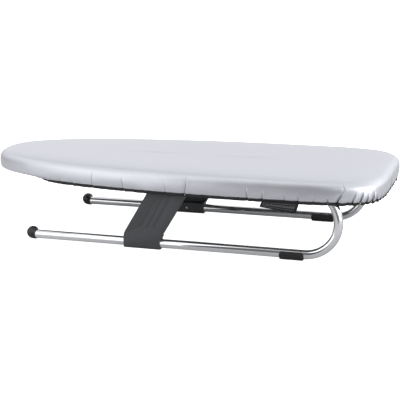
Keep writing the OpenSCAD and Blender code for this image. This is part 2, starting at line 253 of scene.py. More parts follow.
def silver_cloth():
    """Metallised woven cotton: satin gloss, fine threads, faint handling marks, and painted shade that darkens its
    folds.
    """
    c = colours().cloth
    material, tree, place = new_material("silver_cloth", 0.8, 0.36, Sheen_Weight=0.05, Sheen_Roughness=0.4)
    uv = cut_map(tree)
    cloud = noise(tree, place, 9, 4, 0.6, (0.5, 1.3, 1.0))
    slub = noise(tree, uv, 900, 2, 0.5, (0.12, 1.0, 1.0))
    # painted shade: the fold_shade attribute darkens the cloth's colour in its folds, down to 0.35 of it
    painted_fold_shade = add(tree, "ShaderNodeAttribute", attribute_name="fold_shade").outputs["Fac"]
    plain = tint(tree, spread(tree, cloud, 0.2, 0.8), shade(c, 0.95), shade(c, 1.05))
    gloss = spread(tree, math_node(tree, "MULTIPLY_ADD", slub, 0.3, cloud), 0.29, 0.40)
    height = math_node(tree, "MULTIPLY_ADD", slub, 0.5, weave(tree, COVER_THREAD, uv))
    return surface(material, tint(tree, painted_fold_shade, plain, shade(c, 0.35)), height, 0.00006, gloss)


def foam_material():
    """Open-cell foam, yellowed unevenly."""
    c = colours().foam
    material, tree, place = new_material("open_foam", 0.0, 0.95, Sheen_Weight=0.2)
    cells = made(tree, "ShaderNodeTexVoronoi", {"Vector": place, "Scale": 900.0})
    return surface(material, tint(tree, noise(tree, place, 60), shade(c, 0.86), shade(c, 1.08)), cells, 0.0005)


def tape_material():
    """Black woven binding: ribs across its run, and a little lint."""
    c = colours().tape
    material, tree, place = new_material("hem_binding", 0.0, 0.6, Specular_IOR_Level=0.35)
    along = made(tree, "ShaderNodeSeparateXYZ", {0: cut_map(tree)})
    ribs = math_node(tree, "SINE", math_node(tree, "MULTIPLY", along, 2 * math.pi / BINDING_RIB))
    lint = noise(tree, place, 700, 2)
    height = math_node(tree, "MULTIPLY_ADD", lint, 0.6, ribs)
    return surface(material, tint(tree, lint, shade(c, 0.5), shade(c, 1.3)), height, 0.0001)


def label_material():
    """Black satin label with a woven row of small lozenges between two lines."""
    c = colours().tape
    material, tree, _ = new_material("woven_label", 0.0, 0.5, Specular_IOR_Level=0.3)
    uv = cut_map(tree)
    x, y = add(tree, "ShaderNodeSeparateXYZ", {0: uv}).outputs[:2]

    def distance(value, middle):
        return math_node(tree, "ABSOLUTE", math_node(tree, "SUBTRACT", value, middle))

    across = distance(math_node(tree, "PINGPONG", x, LOZENGE_PITCH), LOZENGE_PITCH / 2)
    away = distance(y, LABEL_MIDDLE)
    reach = math_node(tree, "ADD", across, math_node(tree, "MULTIPLY", away, 0.55))
    lozenge = math_node(tree, "LESS_THAN", distance(reach, LOZENGE_REACH), LOZENGE_LINE)
    line = math_node(tree, "COMPARE", away, LABEL_LINE, LABEL_LINE_HALF)
    inside = math_node(tree, "COMPARE", x, *LABEL_ROW)
    near = math_node(tree, "LESS_THAN", away, 0.0045)
    row = math_node(tree, "MAXIMUM", math_node(tree, "MULTIPLY", lozenge, near), line)
    mark = math_node(tree, "MULTIPLY", row, inside)
    height = math_node(tree, "ADD", weave(tree, LABEL_THREAD, uv), mark)
    return surface(material, tint(tree, mark, shade(c, 0.6), LABEL_MARK), height, 0.00006)


def thread_material():
    """Sewing thread, a little fuzzy."""
    c = colours().cloth
    material, tree, place = new_material("hem_thread", 0.0, 0.6, Sheen_Weight=0.2)
    twist = noise(tree, place, 1500, 2)
    return surface(material, tint(tree, twist, shade(c, 0.75), shade(c, 1.1)), twist, 0.0001)


def paint_material(name, amount=1.0):
    """Powder coat: a fine orange peel, dusty variation and slightly worn gloss."""
    c = shade(colours().paint, amount)
    material, tree, place = new_material(name, 0.0, 0.42, Coat_Weight=0.25, Coat_Roughness=0.3)
    peel = noise(tree, place, 700, 2)
    cloud = noise(tree, place, 14, 4)
    colour = tint(tree, cloud, shade(c, 0.93), shade(c, 1.06))
    return surface(material, colour, peel, 0.00008, spread(tree, cloud, 0.36, 0.52))


def chrome_material():
    """Bright chrome: nearly a mirror, with faint draw lines along the tube and a few soft marks."""
    c = colours().chrome
    material, tree, place = new_material("bright_chrome", 1.0, 0.07)
    cloud = noise(tree, place, 35, 4, 0.6, (0.3, 1.0, 1.0))
    lines = noise(tree, place, 900, 2, 0.5, (0.01, 1.0, 1.0))
    colour = tint(tree, cloud, shade(c, 0.94), shade(c, 1.04))
    return surface(material, colour, lines, 0.000004, spread(tree, cloud, 0.03, 0.085))


def moulded_material(name, colour, rough, grain_scale, grain, rubbed=1.35):
    """Moulded plastic or rubber: a sparked grain, uneven gloss and paler rubbed edges."""
    material, tree, place = new_material(name, 0.0, rough, Specular_IOR_Level=0.4)
    fine = noise(tree, place, grain_scale, 3, 0.6)
    cloud = noise(tree, place, 40, 4, 0.6)
    body = tint(tree, cloud, shade(colour, 0.92), shade(colour, 1.10))
    edge = add(tree, "ShaderNodeNewGeometry").outputs["Pointiness"]
    rub = made(tree, "ShaderNodeMapRange", {0: edge, 1: 0.52, 2: 0.6, 3: 0.0, 4: 1.0})
    gloss = spread(tree, cloud, rough - 0.06, rough + 0.08)
    return surface(material, tint(tree, rub, body, shade(colour, rubbed)), fine, grain, gloss)


def zinc_material(name, rough=0.33):
    """Zinc plate: brushed, with a faint grey mottle."""
    c = colours().zinc
    material, tree, place = new_material(name, 1.0, rough)
    mottle = made(tree, "ShaderNodeTexVoronoi", {"Vector": place, "Scale": 160.0})
    brush = noise(tree, place, 500, 3, 0.6, (0.05, 1.0, 1.0))
    gloss = spread(tree, brush, rough - 0.08, rough + 0.12)
    return surface(material, tint(tree, mottle, shade(c, 0.85), shade(c, 1.15)), brush, 0.00002, gloss)


_made = {}


def finish_of(key):
    """The material for a finish, made once."""
    if key not in _made:
        c = colours()
        makers = {
            "cloth": silver_cloth,
            "foam": foam_material,
            "tape": tape_material,
            "label": label_material,
            "thread": thread_material,
            "deck": lambda: paint_material("deck_coat"),
            "rim": lambda: paint_material("rim_coat", 0.95),
            "rail": lambda: paint_material("rail_coat", 0.85),
            "chrome": chrome_material,
            "strut": lambda: moulded_material("charcoal_grain", c.charcoal, 0.52, 1500, 0.00007),
            "saddle": lambda: moulded_material("saddle_nylon", c.black, 0.46, 1300, 0.00005, 2.0),
            "rubber": lambda: moulded_material("foot_grain", c.black, 0.6, 1100, 0.0001, 1.8),
            "ball": lambda: moulded_material("smooth_black", c.black, 0.3, 500, 0.00001, 1.2),
            "plug": lambda: moulded_material("plug_nylon", c.black, 0.5, 1200, 0.00004, 1.6),
            "elastic": lambda: moulded_material("elastic_rubber", (0.5, 0.49, 0.45), 0.8, 900, 0.0001, 1.0),
            "strap": lambda: zinc_material("strap_zinc", 0.36),
            "ring": lambda: zinc_material("ring_zinc", 0.28),
            "screw": lambda: zinc_material("screw_zinc", 0.24),
        }
        _made[key] = makers[key]()
    return _made[key]


# ---- the board's outline and the hang of its cloth ----

def end_shape(tail, inset):
    """Reach from the widest place and the two roundnesses, of the broad end where tail is true and else of the nose."""
    reach = np.where(tail, HALF_LENGTH - WIDEST_X, HALF_LENGTH + WIDEST_X) - inset
    return reach, *(np.where(tail, TAIL_ROUND[i], NOSE_ROUND[i]) for i in (0, 1))


def outline_at(angle, inset):
    """Points of the board's outline at these angles, drawn in by inset."""
    c, s = np.cos(angle), np.sin(angle)
    reach, ex, ey = end_shape(c > 0, inset)
    x = WIDEST_X + np.sign(c) * reach * np.abs(c) ** (2 / ex)
    y = np.sign(s) * (HALF_WIDTH - inset) * np.abs(s) ** (2 / ey)
    return np.stack([x, y], -1)


def half_width(x, inset=0.0):
    """Half the board's width at x, drawn in by inset."""
    reach, ex, ey = end_shape(x > WIDEST_X, inset)
    inner = np.clip(1 - np.clip(np.abs(x - WIDEST_X) / reach, 0, 1) ** ex, 0, 1)
    return (HALF_WIDTH - inset) * inner ** (1 / ey)


# Distances along the edge run from the nose tip, down the near side, round the broad end and back.
_close = np.geomspace(1e-7, 0.04, 300)
_even = np.linspace(0.04, math.pi / 2 - 0.04, 900)[1:-1]
_fine = np.concatenate([_close, _even, math.pi / 2 - _close[::-1]])
EDGE_ANGLES = np.concatenate([math.pi + k * math.pi / 2 + _fine for k in range(4)])
_edge = outline_at(EDGE_ANGLES, 0)
EDGE_RUN = np.concatenate([[0], np.cumsum(np.linalg.norm(np.diff(_edge, axis=0), axis=1))])
EDGE_LENGTH = EDGE_RUN[-1]


def angle_at(run):
    return np.interp(np.mod(run, EDGE_LENGTH), EDGE_RUN, EDGE_ANGLES)


def edge_frame(run):
    """The outline's point and its outward direction at these distances along the edge."""
    here = outline_at(angle_at(run), 0)
    step = outline_at(angle_at(run + 0.0008), 0) - outline_at(angle_at(run - 0.0008), 0)
    step /= np.linalg.norm(step, axis=-1, keepdims=True)
    return here, np.stack([step[..., 1], -step[..., 0]], -1)


def even_runs(count):
    return np.arange(count) / count * EDGE_LENGTH


def along_from(run, place):
    """Distance along the edge from a place, the short way round, and less than 0 before it."""
    return np.mod(run - place + EDGE_LENGTH / 2, EDGE_LENGTH) - EDGE_LENGTH / 2


def from_nose(run):
    """Distance along the edge from the nose tip, the short way round."""
    return np.abs(along_from(run, 0))


def ease(t):
    t = np.clip(t, 0, 1)
    return t * t * (3 - 2 * t)


def wander(run, waves, seed):
    """A smooth closed wave along the edge, of about -1 to 1, from a few whole numbers of periods."""
    rng = np.random.default_rng(seed)
    total = sum(np.sin(2 * math.pi * k * run / EDGE_LENGTH + rng.uniform(0, 6.28)) for k in waves)
    return total / math.sqrt(len(waves))


# Pleats that rise from the hem: distance along the edge, height, depth, lean and curl, in mm.
NEAR_PLEATS = [
    (294, 26, 0.7, 0.0, 0.0), (357, 23, 0.8, -0.10, 0.0), (438, 24, 0.35, 0.0, 0.0), (474, 34, 1.0, 0.16, 0.004),
    (586, 19, 1.0, -0.15, 0.006), (612, 16, 0.8, 0.10, 0.0), (650, 15, 0.35, 0.0, 0.0), (674, 17, 0.6, -0.05, 0.0),
    (700, 12, 0.4, 0.1, 0.0), (724, 9, 0.9, -0.3, 0.0), (740, 27, 1.8, 0.42, 0.004), (765, 18, 1.1, 0.25, 0.0),
    (779, 20, 1.3, 0.2, 0.0), (791, 15, 1.0, 0.1, 0.0), (804, 19, 1.4, 0.05, 0.0), (815, 12, 1.0, 0.0, 0.0),
    (829, 14, 0.8, -0.1, 0.0), (845, 11, 0.7, -0.1, 0.0), (862, 13, 0.7, 0.0, 0.0), (884, 9, 0.5, 0.0, 0.0),
    (142, 7, 0.5, 0.0, 0.0), (163, 5, 0.5, 0.2, 0.0), (190, 6, 0.6, 0.0, 0.0), (225, 7, 0.5, 0.0, 0.0),
    (251, 6, 0.4, 0.2, 0.0),
]


def all_pleats():
    """The near side's pleats, and others like them round the broad end, the far side and the nose."""
    rng = np.random.default_rng(41)
    pleats = [(run * MM, height * MM, depth * MM, lean, curl) for run, height, depth, lean, curl in NEAR_PLEATS]
    run = 0.905
    while run < EDGE_LENGTH - 0.02:
        bend = min(abs(run - 1.075), abs(run - 0.8), 0.4)
        tight = bend < 0.06 or run > EDGE_LENGTH - 0.2
        height = rng.uniform(7, 15) if tight else rng.uniform(9, 30)
        depth = rng.uniform(0.5, 1.1) if tight else rng.uniform(0.35, 1.0)
        pleats.append((run, height * MM, depth * MM, rng.uniform(-0.25, 0.25), rng.uniform(-0.004, 0.004)))
        run += rng.uniform(0.011, 0.024) if tight else rng.uniform(0.03, 0.085)
    for k in range(8):
        height, depth = rng.uniform(4, 8) * MM, rng.uniform(0.3, 0.5) * MM
        pleats.append((0.012 + 0.0145 * k, height, depth, rng.uniform(-0.2, 0.2), 0.0))
    return pleats


PLEATS = all_pleats()


def tucked(run):
    """How far the cover's edge turns under the rim: 1 round the nose, little along the straight sides."""
    half = from_nose(run)
    nose = 1 - ease((half - 0.125) / 0.105)
    corner = np.exp(-(((half - 0.81) / 0.05) ** 2))
    return np.clip(0.06 + 0.94 * nose + 0.16 * corner + 0.05 * wander(run, (31, 44, 58, 73), 3), 0, 1)


def side_length(run):
    """Length of cloth from the shoulder down to the cover's edge, less where a pleat lifts the hem."""
    lift = np.zeros_like(run)
    for place, _, depth, _, _ in PLEATS:
        lift = lift + depth * 0.9 * np.exp(-((along_from(run, place) / 0.0022) ** 2))
    corner = np.exp(-(((from_nose(run) - 0.83) / 0.075) ** 2))
    ripple = (0.12 + 0.75 * corner) * MM * wander(run, (67, 83, 101, 127, 149), 8)
    return BOARD_TOP - CLOTH_EDGE - sizes().shoulder + TUCK * tucked(run) - lift + ripple


def hang(run, drop):
    """Inset, height and slope of the cloth at drop below the shoulder, for runs (n,) and drops (n, m)."""
    u = np.linspace(0, HANG_REACH, HANG_STEPS)
    slope = tucked(run)[:, None] * UNDER_SLOPE * ease((u[None, :] - UNDER_START) / UNDER_BEND)
    du = u[1] - u[0]
    mid = (slope[:, 1:] + slope[:, :-1]) / 2
    start = np.zeros((len(run), 1))
    inward = np.concatenate([start, np.cumsum(np.sin(mid) * du, 1)], 1)
    down = np.concatenate([start, np.cumsum(np.cos(mid) * du, 1)], 1)
    f = np.clip(drop, 0, HANG_REACH - 1e-6) / du
    i = f.astype(int)
    f = f - i
    rows = np.arange(len(run))[:, None]
    return [table[rows, i] * (1 - f) + table[rows, i + 1] * f for table in (inward, down, slope)]


def folds(run, above):
    """How far the cloth stands out from its smooth shape at a height above its edge, and the painted shade of a fold
    there.
    """
    out, painted_fold_shade = np.zeros((2, *np.broadcast(run, above).shape))
    for place, height, depth, lean, curl in PLEATS:
        near = (np.abs(along_from(run, place)) < PLEAT_REACH).any(axis=1)
        if not near.any():
            continue
        v = np.clip(above[near], 0, None)
        x = along_from(run[near], place) - lean * v - curl * v * v / MM
        fade = 1 - ease(v / height - 0.1)
        sharp = 0.0005 + 0.0007 * v / height
        step = np.tanh(x / sharp) * np.exp(-np.abs(x) / 0.006)
        groove = np.exp(-((x / (1.25 * sharp)) ** 2))
        # painted shade: a dark line along each pleat's groove, for the cloth's colour
        dark = np.exp(-(((x + 0.0002) / (0.0007 + 0.0003 * v / height)) ** 2))
        out[near] += sizes().crease * depth / MM * fade * (0.8 * step - 0.6 * groove)
        painted_fold_shade[near] += np.minimum(depth / MM, 1) * fade * dark
    return out, np.clip(painted_fold_shade, 0, 1)


def cloth_points(run, drop, out=0.0):
    """Points on the cover's outer face at drop below the shoulder, moved out by a distance, and the face's normals."""
    run = np.asarray(run, float)
    drop = np.broadcast_to(drop, (len(run), np.shape(drop)[-1])).astype(float)
    here, outward = edge_frame(run)
    inward, down, slope = hang(run, drop)
    length = side_length(run)[:, None]
    above = length - drop
    t = np.clip(drop / length, 0, 1)
    swell = 0.5 + t - 2.5 * t * t
    lumpy = 0.85 + 0.25 * wander(run, (9, 14, 19, 26, 33), 21)[:, None] * (1 - 0.7 * t)
    gathered = (0.10 + 0.25 * tucked(run)) * MM * wander(run, (173, 211, 257, 307), 5)
    gathers = gathered[:, None] * np.exp(-np.clip(above, 0, None) / 0.006)
    rise = sizes().puff * swell * lumpy + gathers * (above > -0.001) + out
    rise = rise + folds(run[:, None] + 0 * drop, above)[0]
    side = rise * np.cos(slope) - inward
    z = BOARD_TOP - sizes().shoulder - down - rise * np.sin(slope)
    xy = here[:, None, :] + outward[:, None, :] * side[..., None]
    normal = np.concatenate([outward[:, None, :] * np.cos(slope)[..., None], -np.sin(slope)[..., None]], -1)
    return np.concatenate([xy, z[..., None]], -1), normal


# ---- meshes ----

def in_scene(name, data):
    """A new object with this data, linked to the scene."""
    obj = bpy.data.objects.new(name, data)
    bpy.context.scene.collection.objects.link(obj)
    return obj


def mesh_object(name, points, faces, uv=None):
    """A smooth mesh object from points and faces, with an optional UV for each point."""
    mesh = bpy.data.meshes.new(name)
    mesh.from_pydata([tuple(p) for p in points], [], faces)
    mesh.validate(clean_customdata=False)
    if uv is not None:
        layer = mesh.uv_layers.new(name="cut")
        which = np.zeros(len(mesh.loops), int)
        mesh.loops.foreach_get("vertex_index", which)
        layer.data.foreach_set("uv", np.asarray(uv, np.float32)[which].ravel())
    mesh.polygons.foreach_set("use_smooth", [True] * len(mesh.polygons))
    return in_scene(name, mesh)


def settle(obj):
    """Applies every modifier by replacing the object's mesh with its evaluated one."""
    bpy.context.view_layer.update()
    graph = bpy.context.evaluated_depsgraph_get()
    mesh = bpy.data.meshes.new_from_object(obj.evaluated_get(graph), preserve_all_data_layers=True, depsgraph=graph)
    old = obj.data
    obj.modifiers.clear()
    obj.data = mesh
    mesh.name = obj.name
    if isinstance(old, bpy.types.Mesh) and old.users == 0:
        bpy.data.meshes.remove(old)
    return obj


def wear(obj, key):
    """Gives the whole piece one finish."""
    obj.data.materials.clear()
    obj.data.materials.append(finish_of(key))
    return obj


def seat(obj, body, slot, *nodes):
    """The piece rides on its body and stands for these CAD nodes; its slot is not used."""
    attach(obj, body)
    if nodes:
        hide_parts(*nodes)
    return obj


def dress(node, key):
    """A better finish on a CAD node whose shape stays."""
    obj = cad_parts[node]
    if not obj.material_slots:
        obj.data.materials.append(finish_of(key))
    for s in obj.material_slots:
        s.material = finish_of(key)


def closed_strip(n, m):
    """Faces that join n rings of m points, the last ring to the first."""
    faces = []
    for i in range(n):
        after = (i + 1) % n * m
        for j in range(m):
            k = (j + 1) % m
            faces.append((i * m + j, i * m + k, after + k, after + j))
    return faces


def outwards(obj):
    """Turns the faces of a closed shape outwards."""
    bm = bmesh.new()
    bm.from_mesh(obj.data)
    bmesh.ops.recalc_face_normals(bm, faces=bm.faces)
    bm.to_mesh(obj.data)
    bm.free()
    return obj


def thicken(obj, thickness, offset):
    """Gives a sheet its thickness: all of it inside at an offset of -1, half on each side at 0."""
    solid = obj.modifiers.new("thickness", "SOLIDIFY")
    solid.thickness, solid.offset = thickness, offset
    return settle(obj)


def rounded_copy(node, width, angle=32):
    """A merged copy of a CAD node with its sharp edges rounded."""
    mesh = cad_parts[node].data.copy()
    mesh.name = node + "_body"
    bm = bmesh.new()
    bm.from_mesh(mesh)
    bmesh.ops.remove_doubles(bm, verts=bm.verts, dist=2e-6)
    bmesh.ops.dissolve_limit(bm, angle_limit=math.radians(1.0), verts=bm.verts, edges=bm.edges)
    for f in bm.faces:
        f.smooth = True
    bm.to_mesh(mesh)
    bm.free()
    if "custom_normal" in mesh.attributes:
        mesh.attributes.remove(mesh.attributes["custom_normal"])
    obj = in_scene(node + "_body", mesh)
    bevel = obj.modifiers.new("edges", "BEVEL")
    bevel.width = width
    bevel.segments = 2
    bevel.limit_method = "ANGLE"
    bevel.angle_limit = math.radians(angle)
    bevel.harden_normals = True
    bevel.use_clamp_overlap = True
    return settle(obj)


def rounded_piece(node, body, slot, key, width, angle=32):
    """A rounded copy of a CAD node in its place, with its finish."""
    seat(wear(rounded_copy(node, width, angle), key), body, slot, node)


# ---- geometry node trees ----

def new_tree(name, inputs):
    """A geometry tree with a Geometry input, named inputs and a Geometry output."""
    tree = bpy.data.node_groups.new(name, "GeometryNodeTree")
    face = tree.interface
    face.new_socket("Geometry", in_out="INPUT", socket_type="NodeSocketGeometry")
    for label, kind, value in inputs:
        socket = face.new_socket(label, in_out="INPUT", socket_type=kind)
        if value is not None:
            socket.default_value = value
    face.new_socket("Geometry", in_out="OUTPUT", socket_type="NodeSocketGeometry")
    return tree, tree.nodes.new("NodeGroupInput").outputs, tree.nodes.new("NodeGroupOutput")


def end_tree(tree, out, geometry, material):
    """Realize Instances, then Set Material, at the end of a tree."""
    real = made(tree, "GeometryNodeRealizeInstances", {0: geometry})
    smooth = made(tree, "GeometryNodeSetShadeSmooth", {0: real, "Shade Smooth": True})
    dressed = made(tree, "GeometryNodeSetMaterial", {"Geometry": smooth, "Material": material})
    tree.links.new(dressed, out.inputs[0])


def grow(obj, tree, **values):
    """Runs a tree on an object, with its inputs set by their identifiers, and keeps the result as a plain mesh."""
    modifier = obj.modifiers.new(tree.name, "NODES")
    modifier.node_group = tree
    for item in tree.interface.items_tree:
        if item.item_type == "SOCKET" and item.in_out == "INPUT" and item.name.replace(" ", "_") in values:
            modifier[item.identifier] = values[item.name.replace(" ", "_")]
    return settle(obj)


def point_object(name, points, edges=(), **vectors):
    """Points, and edges along a path, with named vectors that a tree reads."""
    mesh = bpy.data.meshes.new(name)
    mesh.from_pydata([tuple(p) for p in points], list(edges), [])
    for key, data in vectors.items():
        attribute = mesh.attributes.new(key, "FLOAT_VECTOR", "POINT")
        attribute.data.foreach_set("vector", np.asarray(data, np.float32).ravel())
    return in_scene(name, mesh)


def named_vector(tree, name):
    return made(tree, "GeometryNodeInputNamedAttribute", {"Name": name}, data_type="FLOAT_VECTOR")


def turned(tree, along, up):
    """A rotation with X along one direction and Z near another."""
    first = made(tree, "FunctionNodeAlignRotationToVector", {"Vector": along}, axis="X")
    return made(tree, "FunctionNodeAlignRotationToVector", {"Rotation": first, "Vector": up}, axis="Z", pivot_axis="X")


def stitch_tree():
    """Stitches at a pitch along a path, lying on the cloth."""
    tree, given, out = new_tree("stitches", [
        ("Pitch", "NodeSocketFloat", 0.0036), ("Length", "NodeSocketFloat", 0.0026),
        ("Thickness", "NodeSocketFloat", 0.0005), ("Thread", "NodeSocketMaterial", None)])
    curve = made(tree, "GeometryNodeMeshToCurve", {0: given["Geometry"]})
    even = made(tree, "GeometryNodeResampleCurve", {"Curve": curve, "Length": given["Pitch"]}, mode="LENGTH")
    points = add(tree, "GeometryNodeCurveToPoints", {"Curve": even}, mode="EVALUATED")
    bead = made(tree, "GeometryNodeMeshUVSphere", {"Segments": 6, "Rings": 4, "Radius": 0.5})
    size = made(tree, "ShaderNodeCombineXYZ", {0: given["Length"], 1: given["Thickness"], 2: given["Thickness"]})
    bead = made(tree, "GeometryNodeTransform", {"Geometry": bead, "Rotation": (0, math.pi / 2, 0)})
    bead = made(tree, "GeometryNodeTransform", {"Geometry": bead, "Scale": size})
    turn = turned(tree, points.outputs["Tangent"], named_vector(tree, "outward"))
    laid = made(tree, "GeometryNodeInstanceOnPoints", {"Points": points.outputs[0], "Instance": bead, "Rotation": turn})
    end_tree(tree, out, laid, given["Thread"])
    return tree


def flange_tree():
    """A pressed ring round each hole centre."""
    tree, given, out = new_tree("hole_flanges", [
        ("Radius", "NodeSocketFloat", 0.0065), ("Bead", "NodeSocketFloat", 0.0006),
        ("Paint", "NodeSocketMaterial", None)])
    middle = math_node(tree, "ADD", given["Radius"], given["Bead"])
    round_ = made(tree, "GeometryNodeCurvePrimitiveCircle", {"Resolution": 16, "Radius": middle})
    bead = made(tree, "GeometryNodeCurvePrimitiveCircle", {"Resolution": 5, "Radius": given["Bead"]})
    ring = made(tree, "GeometryNodeCurveToMesh", {0: round_, 1: bead})
    points = made(tree, "GeometryNodeMeshToPoints", {0: given["Geometry"]})
    laid = made(tree, "GeometryNodeInstanceOnPoints", {"Points": points, "Instance": ring})
    end_tree(tree, out, laid, given["Paint"])
    return tree


def screw_tree():
    """A screw on each point, its head facing along the named axis."""
    tree, given, out = new_tree("screws", [("Screw", "NodeSocketObject", None), ("Zinc", "NodeSocketMaterial", None)])
    screw = add(tree, "GeometryNodeObjectInfo", {0: given["Screw"]}).outputs["Geometry"]
    points = made(tree, "GeometryNodeMeshToPoints", {0: given["Geometry"]})
    turn = made(tree, "FunctionNodeAlignRotationToVector", {"Vector": named_vector(tree, "axis")}, axis="Z")
    spin = add(tree, "FunctionNodeRandomValue", {2: 0.0, 3: 1.5, "Seed": 7}, data_type="FLOAT").outputs[1]
    own = made(tree, "ShaderNodeCombineXYZ", {2: spin})
    about = made(tree, "FunctionNodeEulerToRotation", {0: own})
    both = made(tree, "FunctionNodeRotateRotation", {0: turn, 1: about}, rotation_space="LOCAL")
    laid = made(tree, "GeometryNodeInstanceOnPoints", {"Points": points, "Instance": screw, "Rotation": both})
    end_tree(tree, out, laid, given["Zinc"])
    return tree


def tube_tree():
    """A bent tube along a path."""
    tree, given, out = new_tree("bent_tube", [
        ("Radius", "NodeSocketFloat", 0.008), ("Chrome", "NodeSocketMaterial", None)])
    curve = made(tree, "GeometryNodeMeshToCurve", {0: given["Geometry"]})
    profile = made(tree, "GeometryNodeCurvePrimitiveCircle", {"Resolution": 56, "Radius": given["Radius"]})
    tube = made(tree, "GeometryNodeCurveToMesh", {0: curve, 1: profile, "Fill Caps": True})
    end_tree(tree, out, tube, given["Chrome"])
    return tree


# ---- pieces ----

def crown_height(inset):
    """Height of the top at an inset from the edge: a slope at the shoulder that levels out inwards."""
    start = sizes().shoulder * (1 - math.sin(CROWN_SLOPE))
    base = BOARD_TOP - sizes().shoulder * (1 - math.cos(CROWN_SLOPE))
    reach = sizes().crown / math.tan(CROWN_SLOPE)
    return base + sizes().crown * (1 - np.exp(-np.clip(inset - start, 0, None) / reach))


def column_places(count):
    """Distances along the edge for the cover's columns, closer together at a pleat."""
    s = np.linspace(0, EDGE_LENGTH, 12001)
    density = np.ones_like(s)
    for place, height, _, lean, curl in PLEATS:
        sway = lean * height + curl * height * height / MM
        density += 2.6 * np.exp(-(((s - place - 0.45 * sway) / (0.0025 + 0.4 * abs(sway))) ** 4))
    total = np.concatenate([[0], np.cumsum((density[1:] + density[:-1]) / 2)])
    return np.interp(np.arange(count) / count * total[-1], total, s)


def cover_mesh():
    """The cover as one sheet: side, shoulder and top, its rings halving in number towards the middle.

    Gives its points, faces, flat coordinates, the number of points below the top, and each point's
    painted shade in a fold."""
    count, side_rows, shoulder_rows = 1400, 17, 8
    run = column_places(count)
    radius = sizes().shoulder
    length = side_length(run)[:, None]
    drop = length * (1 - np.linspace(0, 1, side_rows + 1)[None, :-1])
    side, _ = cloth_points(run, drop)
    here, outward = edge_frame(run)
    rows = list(side.transpose(1, 0, 2))
    cuts = list(drop.T + radius * math.pi / 2)
    first, _ = cloth_points(run, np.zeros((count, 1)))
    stand = np.einsum("ij,ij->i", first[:, 0, :2] - here, outward)
    for j in range(shoulder_rows + 1):
        turn = j / shoulder_rows * (math.pi / 2 - CROWN_SLOPE)
        base = outline_at(angle_at(run), radius * (1 - math.cos(turn)))
        ring = base + outward * (stand * math.cos(turn) ** 2)[:, None]
        z = np.full(count, BOARD_TOP - radius + radius * math.sin(turn))
        rows.append(np.column_stack([ring, z]))
        cuts.append(np.full(count, radius * (math.pi / 2 - turn)))
    points = [np.concatenate(rows)]
    flat_edge = outline_at(angle_at(run), radius)
    uv = [np.concatenate([flat_edge + outward * cut[:, None] for cut in cuts])]

    faces = []

    def join(low, high, n):
        """Squares between two rings of n points that start at these numbers."""
        for i in range(n):
            k = (i + 1) % n
            faces.append((low + i, low + k, high + k, high + i))

    last = (len(rows) - 1) * count
    for start in range(0, last, count):
        join(start, start + count, count)
    side_count, start, size = last, last + count, count
    for inset, step in TOP_RINGS:
        columns = run[::step]
        ring = outline_at(angle_at(columns), inset)
        n = len(ring)
        points.append(np.column_stack([ring, np.full(n, crown_height(inset))]))
        uv.append(ring)
        if n == size:
            join(last, start, n)
        else:
            for i in range(n):
                k = (i + 1) % n
                a, b, c = last + 2 * i, last + 2 * i + 1, last + (2 * i + 2) % size
                faces += [(a, b, start + i), (b, start + k, start + i), (b, c, start + k)]
        last, size, start = start, n, start + n
    faces.append(tuple(range(last, last + size)))
    points, uv = np.concatenate(points), np.concatenate(uv)
    # painted shade: how far the side's colour is darkened in each fold
    painted_fold_shade = np.zeros(len(points))
    painted_fold_shade[:side_rows * count] = folds(run[:, None] + 0 * drop, length - drop)[1].T.ravel()
    return points, faces, uv, side_count, painted_fold_shade


class IRON_OT_cover(bpy.types.Operator):
    """Builds the silver cover as one sheet of cloth with its pleats"""
    bl_idname = "iron.cover"
    bl_label = "Cover"

    def execute(self, context):
        points, faces, uv, side_count, painted_fold_shade = cover_mesh()
        x, y = points[side_count:, 0], points[side_count:, 1]
        calm = np.clip((HALF_WIDTH - np.abs(y)) / 0.05, 0, 1)
        sway = np.sin(x * 21 + 3 * np.sin(y * 17 + 1)) * np.sin(y * 24 + 2 * np.sin(x * 9))
        points[side_count:, 2] += (0.22 * sway - 0.12) * MM * calm
        obj = mesh_object("cover_cloth", points, faces, uv)
        # painted shade in the folds, which darkens the cloth's colour
        obj.data.attributes.new("fold_shade", "FLOAT", "POINT").data.foreach_set("value", painted_fold_shade)
        thicken(wear(obj, "cloth"), sizes().cloth_t, -1)
        seat(obj, "board", "cover_cloth", "cover")
        return {"FINISHED"}


class IRON_OT_underlay(bpy.types.Operator):
    """Builds the foam underlay that wraps over the deck and down its rim"""
    bl_idname = "iron.underlay"
    bl_label = "Underlay"

    def execute(self, context):
        count = 360
        run = even_runs(count)
        angle = angle_at(run)
        radius, inner, outer = UNDERLAY_ROUND, UNDERLAY_INNER, UNDERLAY_OUTER
        edge = RIM_EDGE + (0.0004 + 0.0003 * wander(run, (23, 37, 51, 64), 12))
        # The section runs out along the deck, down inside, round the lower edge, up and back over the top.
        section = [(inset, DECK_TOP + 0.00005) for inset in (0.150, 0.12, 0.09, 0.06, 0.03, 0.012, inner + 0.0012)]
        section += [(inner, z) for z in (DECK_TOP - 0.0008, 0.134, 0.128, 0.122, 0.118)]
        section += [(inner, edge + 0.0005), (inner - 0.0008, edge), (0.0032, edge), (0.0024, edge + 0.0008)]
        section += [(outer - 0.0002 * math.sin(z * 900), z) for z in (0.119, 0.123, 0.127)]
        for turn in np.linspace(0, math.pi / 2, 8):
            high = FOAM_TOP - 0.0002 - radius + radius * math.sin(turn)
            section.append((outer + radius * (1 - math.cos(turn)), high))
        section += [(inset, FOAM_TOP - 0.0003) for inset in (0.022, 0.035, 0.055, 0.08, 0.11, 0.135, 0.150)]
        rows = [np.column_stack([outline_at(angle, inset), np.broadcast_to(z, count)]) for inset, z in section]
        points = np.stack(rows, 1).reshape(-1, 3)
        obj = outwards(mesh_object("foam_underlay", points, closed_strip(count, len(rows))))
        seat(wear(obj, "foam"), "board", "foam", "pad_top", "pad_side")
        return {"FINISHED"}


